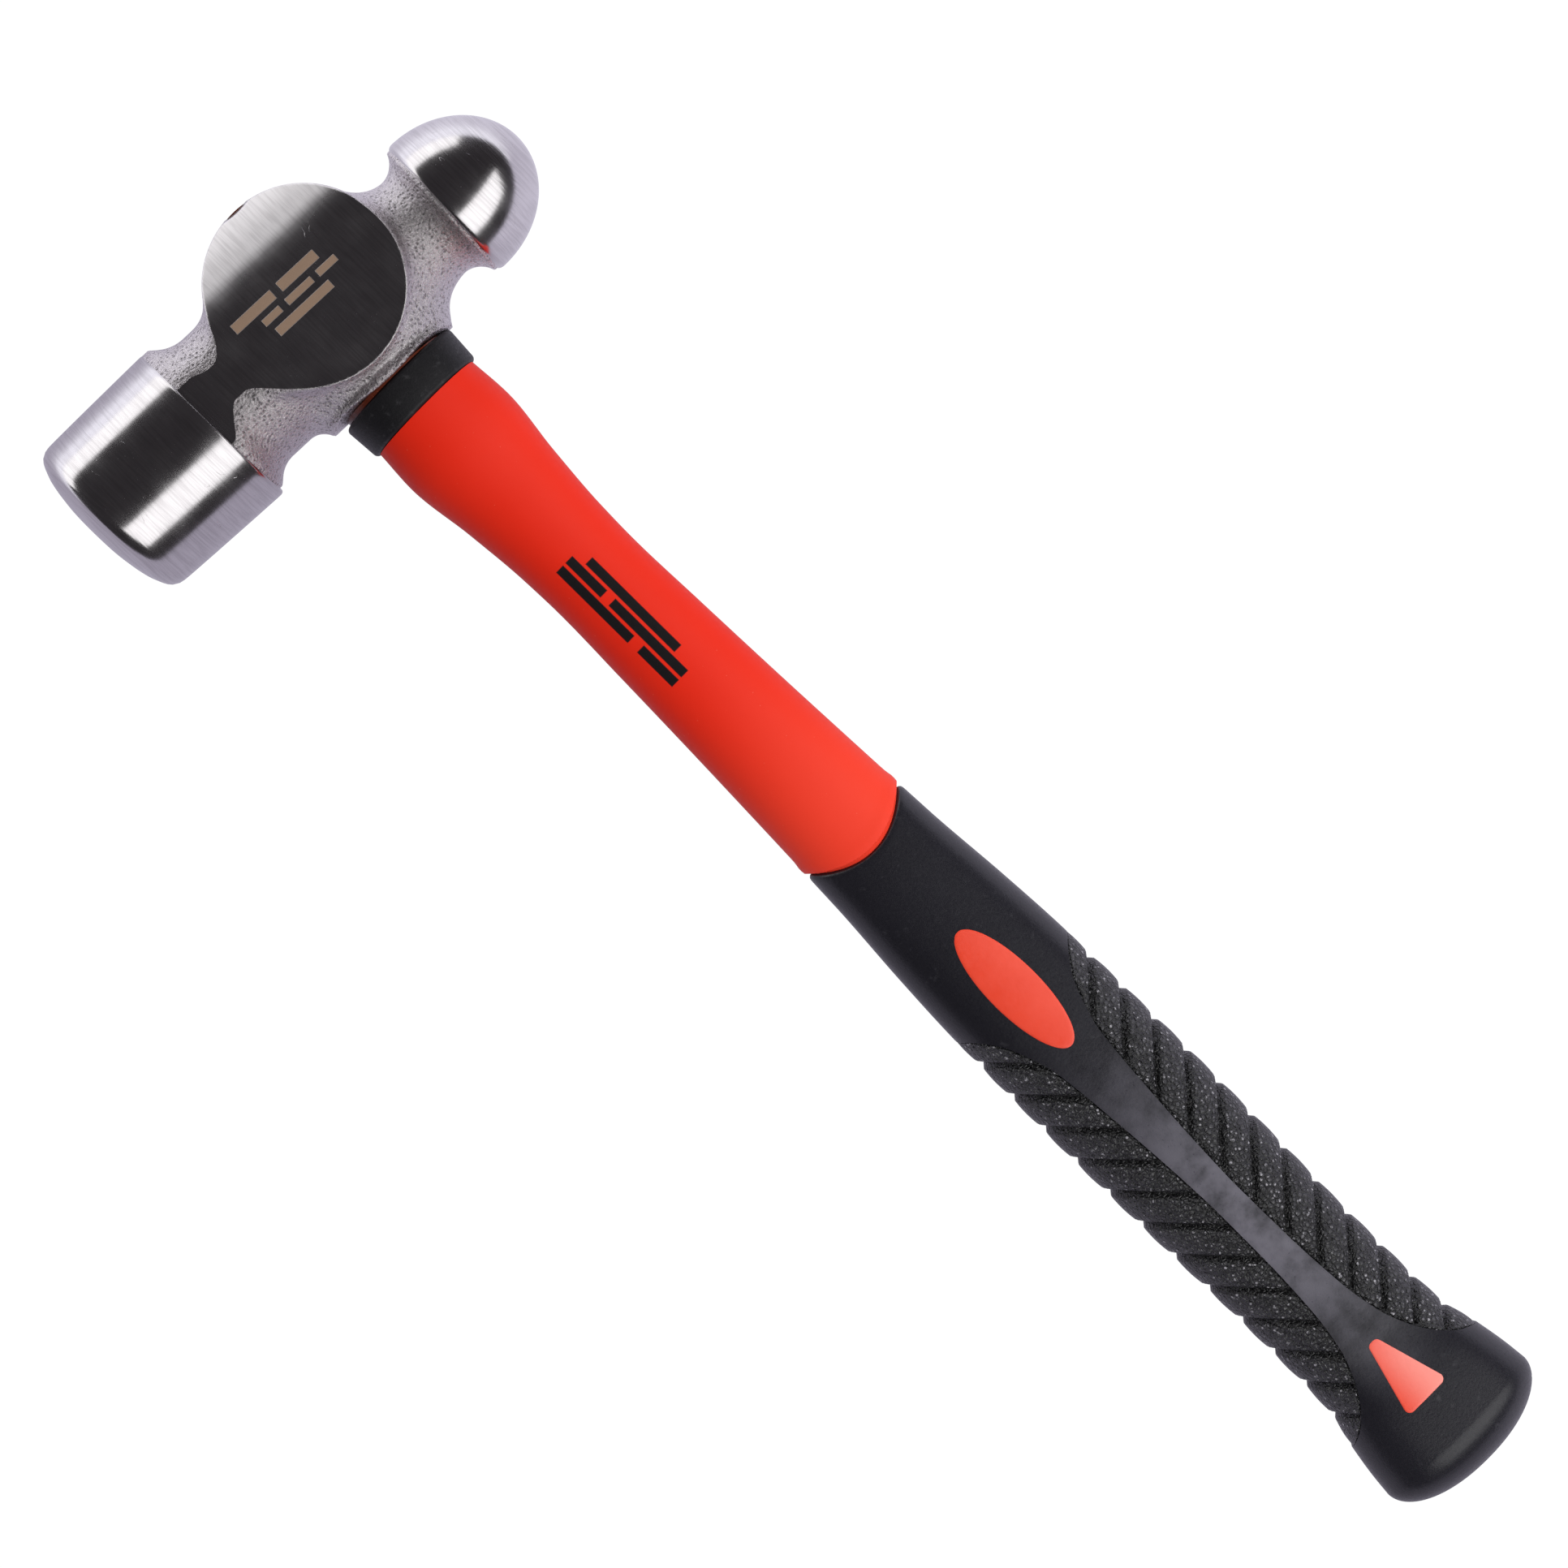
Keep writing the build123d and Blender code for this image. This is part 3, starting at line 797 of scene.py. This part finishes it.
def handle_points(down, angle, inset=0.0):
    """Points on the handle's outline drawn in by inset.

    The angle runs from the front (towards +Z) by the +X side to the back. X is the half width
    times the sine and Z the half thickness times the cosine, each raised to 2 / full.
    """
    wide, deep = outline_sizes(down)
    x = np.maximum(wide - inset, 0.01) * power(np.sin(angle), 2 / full)
    z = np.maximum(deep - inset, 0.01) * power(np.cos(angle), 2 / full)
    return np.stack(np.broadcast_arrays(x, -np.asarray(down, float), z), -1)


def border(angle):
    """Distance down the handle to the curved line where red meets black."""
    return 162.3 - 5.9 * np.abs(np.sin(angle)) ** (4 / full)


def oval_rings(downs, half_x, half_z, angle):
    """Plain oval rings across the handle: X is half_x times the sine, Z is half_z times the cosine."""
    downs, half_x, half_z = np.broadcast_arrays(downs, half_x, half_z)
    x = half_x[:, None] * np.sin(angle)
    z = half_z[:, None] * np.cos(angle)
    return np.stack(np.broadcast_arrays(x, -downs[:, None], z), -1)


print("grip at its widest:", round(2 * outline_sizes(np.array([238.0]))[0][0], 2), "mm")

# %% [markdown]
# ## The collar
#
# A black rubber ring fills the step between the head and the handle. It is an oval ring with
# rounded edges, so its profile is carried round the handle's axis and joined to itself.

# %% Collar
round_angle = np.linspace(0, 2 * math.pi, 160, endpoint=False)
edge = np.linspace(0, math.pi / 2, 6)
edge_size = 1.0
outer_top = [(collar_top + edge_size * (1 - math.sin(a)), edge_size * (1 - math.cos(a))) for a in edge[::-1]]
outer_foot = [(collar_foot - edge_size * (1 - math.sin(a)), edge_size * (1 - math.cos(a))) for a in edge]
bore_size = 3.2
profile = outer_top + [((collar_top + collar_foot) / 2, 0.0)] + outer_foot
profile += [(collar_foot, bore_size), (collar_top, bore_size)]
downs, inset = np.array(profile).T
draft = 0.6 * (downs - collar_top) / (collar_foot - collar_top)
collar_half_x, collar_half_z = 15.4, 13.0
collar_rings = oval_rings(downs, collar_half_x - draft - inset, collar_half_z - draft - inset, round_angle)
collar_mesh = ring_mesh("collar", collar_rings, looped=True)

# %% Collar rubber
rubber = Finish("collar_rubber", Specular_IOR_Level=0.45)
grain = rubber.noise(2.4, 4.0, 0.6)
dust = rubber.noise(0.5, 3.0, 0.7).ramp(0.55, 0.8)
rubber_black, dust_grey = (0.008, 0.0075, 0.009, 1), (0.045, 0.043, 0.048, 1)
rubber.set("Base Color", rubber.mix(dust * 0.7, rubber_black, dust_grey))
rubber.set("Roughness", grain.ramp(0.3, 0.7, 0.38, 0.56))
rubber.set("Normal", rubber.bump(grain, 0.05))
rubber.report()
add_piece("rubber_collar", collar_mesh, [rubber.material], "collar_rubber", "neck_collar")

# %% [markdown]
# ## The jacket
#
# The red jacket is moulded round the glass fibre rod. It starts as a spigot inside the collar,
# shows from the collar to a curved border, and runs on as a hidden sleeve under the grip. One
# skin does it all: up the bore, over the end of the spigot and down the outside.

# %% Jacket
join = 0.05
share = np.linspace(0, 1, 150)[:, None]
seen_start = collar_foot + 0.02
seen_down = seen_start + (border(round_angle) - seen_start) * share
to_border = border(round_angle) - seen_down
edge_drop = 0.9 * ease(1.1, 0.0, to_border) ** 2
bead = 0.22 * np.exp(-((to_border - 2.2) / 1.3) ** 2)
seen = handle_points(seen_down, round_angle[None, :], edge_drop - bead)
hidden_share = np.linspace(0, 1, 40)[:, None]
hidden_start = border(round_angle) + join
hidden_down = hidden_start + (sleeve_end - hidden_start) * hidden_share
sleeve_inset = 2.55
hidden = handle_points(hidden_down, round_angle[None, :], sleeve_inset)
spigot_half_x, spigot_half_z = 12.1, 9.7
spigot_downs = np.array([collar_top + join, collar_foot - join, collar_foot])
spigot = oval_rings(spigot_downs, spigot_half_x, spigot_half_z, round_angle)
bore_play = 0.06
bore_downs = np.linspace(rod_end + bore_play, collar_top + join, 12)
bore = oval_rings(bore_downs, rod_half[0] + bore_play, rod_half[2] + bore_play, round_angle)
jacket_mesh = ring_mesh("jacket", np.concatenate([bore, spigot, seen, hidden]))

# %% Red plastic, with plain bars for the print
red = Finish("red_jacket", Specular_IOR_Level=0.17)
flow = red.noise(0.035, 3.0, 0.5, red.stretch(1.0, 0.35, 1.0))
peel = red.noise(0.9, 3.0, 0.5)
fine = red.noise(6.0, 2.0, 0.5)
specks_and_glints = red.cells(0.55).ramp(0.09, 0.05) * red.noise(0.4).ramp(0.5, 0.62)
tint = red.mix(flow, tone(232, 36, 18), tone(246, 52, 28))
# Painted sheen: the jacket is painted lighter and more orange towards the grip, nearer the soft box.
tint = red.mix(red.y.ramp(-105.0, -158.0) * 0.7, tint, tone(254, 74, 52))
tint = red.mix(specks_and_glints * 0.25, tint, tone(255, 150, 130))
line_half = 1.05
print_sizes = [((-4.4, -84.0), (line_half, 10.6)), ((-4.4, -102.6), (line_half, 5.2)),
               ((-1.6, -78.6), (line_half, 5.2)), ((-1.6, -97.0), (line_half, 10.8)),
               ((1.2, -89.8), (line_half, 13.2))]
print_mark = red.bars(print_sizes) * red.z.ramp(0.0, 1.0)
ink_black = (0.012, 0.010, 0.011, 1)
red.set("Base Color", red.mix(print_mark, tint, ink_black))
red.set("Roughness", peel.ramp(0.3, 0.7, 0.42, 0.52) - print_mark * 0.1)
normal = red.bump(peel, 0.012)
normal = red.bump(fine, 0.004, normal)
red.set("Normal", red.bump(print_mark, 0.02, normal))
red.report()
add_piece("red_handle_jacket", jacket_mesh, [red.material], "red_jacket", "handle_jacket")

# %% [markdown]
# ## The grip
#
# The black grip is moulded over the sleeve. A smooth spine runs down its front and back between
# two ribbed side panels, narrow in the middle of the hand and wide at both ends. The columns of
# its grid follow the spine's edge, so that the recess of each panel starts on a clean line.

# %% Spine of the grip
spine_halves = [(203.2, 17.4), (205.0, 15.2), (207.5, 12.9), (211.5, 10.2), (215.3, 8.6), (223, 6.4),
                (237, 5.0), (255, 3.8), (267, 3.4), (281, 3.5), (295.5, 4.2), (305.5, 5.7), (312.2, 8.1),
                (317.2, 11.0), (321.3, 14.8), (324.0, 19.0)]
panel_start, panel_end = 203.4, 323.9
panel_deep = 1.7


def spine_angle(down):
    """The angle from the front at which the spine ends and a side panel starts.

    It is the angle whose sine, raised to 2 / full, is the spine's share of the half width.
    """
    wide, _ = outline_sizes(down)
    share = np.clip(through(spine_halves, down) / wide, 0, 1)
    return np.minimum(np.arcsin(share ** (full / 2)), math.radians(86.5))


def sector_angles(down, spine_columns, side_columns):
    """Angles right round the handle at each row, with columns gathered on the spine's edges.

    The sectors are the front spine, the +X side, the back spine and the -X side. Also returned
    is which columns lie in a side sector.
    """
    limit = spine_angle(down)[:, None]
    spine_step = np.linspace(-1, 1, spine_columns)[None, :]
    side_step = np.linspace(0, 1, side_columns)[None, :]
    front = limit * spine_step
    right = limit + (math.pi - 2 * limit) * side_step
    angles = np.hstack([front, right, front + math.pi, right + math.pi])
    in_side = np.hstack([np.zeros(spine_columns), np.ones(side_columns)] * 2).astype(bool)
    return angles, in_side


print("spine at its slimmest:", round(2 * min(half for _, half in spine_halves), 1), "mm")

# %% Shell of the grip
stretches = [(166, 202, 30), (202.4, 226, 60), (226.6, 300, 90), (300.6, 326, 64), (326.6, 336, 12)]
dome = dome_start + (butt_end - dome_start) * np.sin(np.linspace(0, math.pi / 2, 26))
wall_rows = np.concatenate([*(np.linspace(*each) for each in stretches), dome[:-1]])
shell_inset = 2.45
wall_angle, in_side = sector_angles(wall_rows, 41, 33)
in_panel = ((wall_rows > panel_start) & (wall_rows < panel_end))[:, None] & in_side[None, :]
wall = handle_points(wall_rows[:, None], wall_angle, np.where(in_panel, panel_deep, 0.0))
lip_angle = wall_angle[:1]
lip_border = border(lip_angle)
lip_line = [(0.7, shell_inset), (0.12, 2.3), (0.05, 1.0), (0.2, 0.5), (0.55, 0.16), (1.1, 0.02), (1.9, 0.0)]
lip = [handle_points(lip_border + beyond, lip_angle, drawn_in) for beyond, drawn_in in lip_line]
inner_angle = np.repeat(lip_angle, 8, 0)
inner_down = np.linspace(sleeve_end + 0.1, 170, 8)[:, None]
inner = handle_points(inner_down, inner_angle, shell_inset)
grip_mesh = ring_mesh("grip", np.concatenate([inner, *lip, wall]))

# %% Smooth black rubber
black = Finish("black_grip", Specular_IOR_Level=0.5)
grain = black.noise(1.6, 4.0, 0.6)
cloud = black.noise(0.06, 3.0, 0.5)
worn = black.noise(0.35, 5.0, 0.65).ramp(0.6, 0.78)
deep_black, soft_black = (0.0095, 0.009, 0.0125, 1), (0.017, 0.0163, 0.022, 1)
painted_sheen_grey, worn_grey = (0.15, 0.142, 0.175, 1), (0.07, 0.068, 0.078, 1)
tint = black.mix(cloud, deep_black, soft_black)
# Painted sheen: a lighter grey band down the middle of the spine, round 272 mm down, stands in for the soft
# box's reflection.
painted_sheen_middle = 272.0
painted_sheen = (black.y + painted_sheen_middle).size().ramp(58.0, 4.0) * black.x.size().ramp(10.0, 2.0) * 0.85
tint = black.mix(painted_sheen * black.noise(0.12, 4.0, 0.6).ramp(0.25, 0.65), tint, painted_sheen_grey)
black.set("Base Color", black.mix(worn * 0.35, tint, worn_grey))
black.set("Roughness", grain.ramp(0.3, 0.7, 0.27, 0.38) + worn * 0.08)
black.set("Normal", black.bump(grain, 0.045))
black.report()
add_piece("black_grip_shell", grip_mesh, [black.material], "black_grip", "grip_shell")


# %% [markdown]
# ## The ribbed panels
#
# Each side panel has twelve grooves that slant at 45 degrees, and the ribs between them are
# softly pillowed so that they press into the palm. The grooves are cut in the mesh, because they
# show in outline, and the pebbled grain between them is fine enough for a bump.

# %% Shape of the ribbed panels
groove_gap, groove_count = 9.6, 12
groove_first, groove_run = 210.6, 16.8
groove_half, groove_deep = 0.9, 0.9
rib_half, rib_pillow = 3.4, 0.42


def groove_depth(x, down):
    """How deep the slanted grooves cut at a place on the panel.

    The distance to the nearest groove's line is measured square to it. The cut is a V in the
    line itself plus a parabola that is lowest in the middle of a rib, which leaves pillowed ribs.
    """
    count = (down - groove_first - (groove_run - np.abs(x))) / groove_gap
    nearest = np.clip(np.round(count), 0, groove_count - 1)
    away = np.abs(count - nearest) * groove_gap * math.sqrt(0.5)
    return groove_deep * np.clip(1 - away / groove_half, 0, 1) + rib_pillow * (away / rib_half - 1) ** 2


def panel_rings(side):
    """One ribbed panel as rings down the handle, each out along the skin and back underneath.

    The skin is drawn in by the grooves and, within rim_width of either edge, by a parabola.
    """
    rim_width, deepest = 1.0, 1.45
    down = np.linspace(panel_start + 0.1, panel_end - 0.1, 320)
    limit = spine_angle(down)[:, None]
    out_step = np.linspace(0, 1, 116)[None, :]
    out_angle = limit + (math.pi - 2 * limit) * out_step
    skin = handle_points(down[:, None], out_angle, 0.0)
    gap_front = np.linalg.norm(skin - skin[:, :1], axis=-1)
    gap_back = np.linalg.norm(skin - skin[:, -1:], axis=-1)
    rim = np.minimum(gap_front, gap_back)
    roll = 0.75 * np.clip(1 - rim / rim_width, 0, 1) ** 2
    cut = groove_depth(skin[..., 0], down[:, None]) * ease(0.0, 1.2, rim)
    skin = handle_points(down[:, None], out_angle, np.minimum(roll + cut, deepest))
    back_angle = out_angle[:, ::-6]
    under = handle_points(down[:, None], back_angle, panel_deep - 0.04)
    rings = np.concatenate([skin, under], 1)
    return rings * np.array([side, 1, 1])


print("grooves in each panel:", groove_count, "each", groove_gap, "mm from the last")

# %% Pebbled rubber of the ribs
ribbed = Finish("ribbed_grip", Specular_IOR_Level=0.9)
pebble = ribbed.cells(1.0, "F1")
crease = ribbed.cells(1.0, "DISTANCE_TO_EDGE").ramp(0.0, 0.22)
warp = ribbed.noise(1.3, 4.0, 0.6)
# Painted glints: pale grey spots on the tops of the pebbles stand in for highlights.
specks_and_glints = ribbed.noise(1.15, 2.0, 0.55).ramp(0.55, 0.62) * pebble.ramp(0.42, 0.2)
# Painted shade: the lines of the grooves are painted nearly black, over the shade that their cut already
# gets.
count = (ribbed.x.size() - ribbed.y - (groove_first + groove_run)) / groove_gap
nearest = count.math("ROUND", count).most(0.0).least(groove_count - 1.0)
groove = ((count - nearest).size() * (groove_gap * math.sqrt(0.5))).ramp(0.95, 0.3)
lit_side = ribbed.x.ramp(-12.0, 12.0)
dark_rib, pale_rib = (0.020, 0.0195, 0.023, 1), (0.040, 0.0395, 0.044, 1)
crease_shade_black, groove_shade_black = (0.003, 0.003, 0.0035, 1), (0.0015, 0.0015, 0.0018, 1)
painted_glint_grey = (0.36, 0.35, 0.38, 1)
tint = ribbed.mix(lit_side, dark_rib, pale_rib)
# Painted shade: the creases between the pebbles are painted nearly black.
tint = ribbed.mix(crease * pebble.ramp(0.6, 0.25), crease_shade_black, tint)
tint = ribbed.mix(specks_and_glints, tint, painted_glint_grey)
ribbed.set("Base Color", ribbed.mix(groove * 0.92, tint, groove_shade_black))
ribbed.set("Roughness", warp.ramp(0.3, 0.7, 0.24, 0.42))
ribbed.set("Normal", ribbed.bump(crease * 0.5 + warp * 0.9 - pebble * 0.5, 0.36))
ribbed.report()

# %% Put the panels in place
for side, label, node in ((-1, "face_side", "rib_panel_face_side"), (1, "peen_side", "rib_panel_peen_side")):
    mesh = ring_mesh("ribs_" + label, panel_rings(side))
    add_piece("ribbed_panel_" + label, mesh, [ribbed.material], "ribbed_grip", node)


# %% [markdown]
# ## The red inlays
#
# Two windows in the grip's spine show red: a long oval and, near the butt, a small wedge with
# rounded corners. Each inlay is a pad made of rings that grow from its middle to its outline. It
# stands a hair above the black, and its rim is rounded.

# %% Rings of a pad
def skin_height(x, down):
    """Height of the grip's skin over its middle plane at a place.

    It is the half thickness times (1 - (x / half width) ** full) ** (1 / full).
    """
    wide, deep = outline_sizes(down)
    return deep * (1 - np.clip(np.abs(x) / wide, 0, 1) ** full) ** (1 / full)


def pad_rings(outline, middle, side):
    """An inlay from the middle of its top, over its rim and down to the middle of its underside.

    The outline is an array of (x, distance down) pairs, and rings are its copies shrunk to the
    middle. Heights follow the grip's skin plus a small rise that rolls off at the rim.
    """
    rings = []
    pad_foot = -2.3
    top = [(share, 0.14) for share in np.linspace(0.04, 0.9, 16)]
    rim = [(0.94, 0.12), (0.97, 0.06), (0.99, -0.04), (1.0, -0.2), (1.0, -1.2)]
    for share, rise in top + rim + [(1.0, pad_foot), (0.4, pad_foot)]:
        x, down = ((outline - middle) * share + middle).T
        rings.append(np.column_stack([x, -down, side * (skin_height(x, down) + rise)]))
    return np.array(rings)


# %% Outlines of the pads
def even(outline, steps):
    """The same closed outline with its points evenly spaced along it."""
    closed = np.vstack([outline, outline[:1]])
    run = np.concatenate([[0], np.cumsum(np.hypot(*np.diff(closed, axis=0).T))])
    spread = np.linspace(0, run[-1], steps, endpoint=False)
    return np.column_stack([np.interp(spread, run, closed[:, axis]) for axis in (0, 1)])


def oval_outline(middle, half_x, half_y, steps=120):
    """An oval: x is half_x times the sine, and the distance down is middle minus half_y times the cosine."""
    turn = np.linspace(0, 2 * math.pi, steps, endpoint=False)
    return np.column_stack([half_x * np.sin(turn), middle - half_y * np.cos(turn)])


def wedge_outline(apex, base, apex_half, base_half, corner, steps=12):
    """A wedge with rounded corners: the hull of four circles, walked corner by corner."""
    slant = math.atan2(base_half - apex_half, base - apex)
    spots = [(apex_half - corner, apex + corner), (base_half - corner, base - corner)]
    points = []
    for (x, down), first, last in ((spots[0], -math.pi / 2, -slant), (spots[1], -slant, math.pi / 2)):
        for a in np.linspace(first, last, steps):
            points.append((x + corner * math.cos(a), down + corner * math.sin(a)))
    right = np.array(points)
    return even(np.vstack([right, right[::-1] * np.array([-1, 1])]), 160)


oval_centre = butt_end - 142.1
wedge_apex, wedge_base = butt_end - 36.6, butt_end - 19.9
inlay_shapes = {
    "oval": (oval_outline(oval_centre, 5.6, 17.2), np.array([0.0, oval_centre])),
    "wedge": (wedge_outline(wedge_apex, wedge_base, 1.55, 5.5, 1.25), np.array([0.0, wedge_base - 6.5])),
}
print("wedge is", round(wedge_base - wedge_apex, 1), "mm long")

# %% Inlays in red, with a painted sheen on the wedge
inlay_red = Finish("red_inlay", Specular_IOR_Level=0.5)
peel = inlay_red.noise(0.8, 3.0, 0.5)
cloud = inlay_red.noise(0.08, 3.0, 0.5)
tint = inlay_red.mix(cloud, tone(236, 62, 34), tone(250, 84, 60))
# Painted sheen: the wedge near the butt is painted pale pink, more so towards +X, for the soft box's
# reflection.
painted_wedge_sheen = inlay_red.y.ramp(-300.0, -318.0) * inlay_red.x.ramp(-7.0, 5.0)
inlay_red.set("Base Color", inlay_red.mix(painted_wedge_sheen * 0.8, tint, tone(255, 158, 146)))
inlay_red.set("Roughness", peel.ramp(0.3, 0.7, 0.3, 0.42))
inlay_red.set("Normal", inlay_red.bump(peel, 0.04))
inlay_red.report()
for label, (shape, middle) in inlay_shapes.items():
    for side, face in ((1, "front"), (-1, "back")):
        mesh = ring_mesh(label + "_" + face, pad_rings(shape, middle, side))
        add_piece(label + "_inlay_" + face + "_pad", mesh, [inlay_red.material], "red_inlay",
                  label + "_inlay_" + face)

# %% [markdown]
# ## Rod and resin
#
# The resin shows at the top of the eye, and as a thin line above the collar. The glass fibre rod
# lies hidden in it, from just under the top of the head nearly to the butt. Their CAD shapes are
# right, so they stay and only get a finish.

# %% Resin and glass fibre
resin = Finish("resin", Specular_IOR_Level=0.6)
cloud = resin.noise(0.3, 4.0, 0.6)
bubbles = resin.cells(0.9).ramp(0.16, 0.05)
dark_amber, amber, bubble_amber = (0.045, 0.008, 0.003, 1), (0.13, 0.022, 0.008, 1), (0.30, 0.07, 0.025, 1)
resin.set("Base Color", resin.mix(bubbles * 0.4, resin.mix(cloud, dark_amber, amber), bubble_amber))
resin.set("Roughness", cloud.ramp(0.3, 0.7, 0.14, 0.3))
resin.set("Normal", resin.bump(cloud * 0.7 + bubbles * 0.3, 0.1))

fibre = Finish("glass_fibre", Specular_IOR_Level=0.5)
strands = fibre.noise(3.5, 3.0, 0.6, fibre.stretch(1.0, 0.05, 1.0))
ends = fibre.cells(2.2)
straw, pale_straw, brown_straw = (0.62, 0.48, 0.22, 1), (0.80, 0.70, 0.45, 1), (0.45, 0.32, 0.12, 1)
tint = fibre.mix(strands, straw, pale_straw)
fibre.set("Base Color", fibre.mix(ends.ramp(0.1, 0.4) * 0.4, tint, brown_straw))
fibre.set("Roughness", strands.ramp(0.3, 0.7, 0.35, 0.55))
fibre.set("Normal", fibre.bump(strands * 0.6 + ends * 0.4, 0.08))
for node, finish in (("eye_resin", resin), ("core_rod", fibre)):
    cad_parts[node].material_slots[0].material = finish.material
    finish.report()
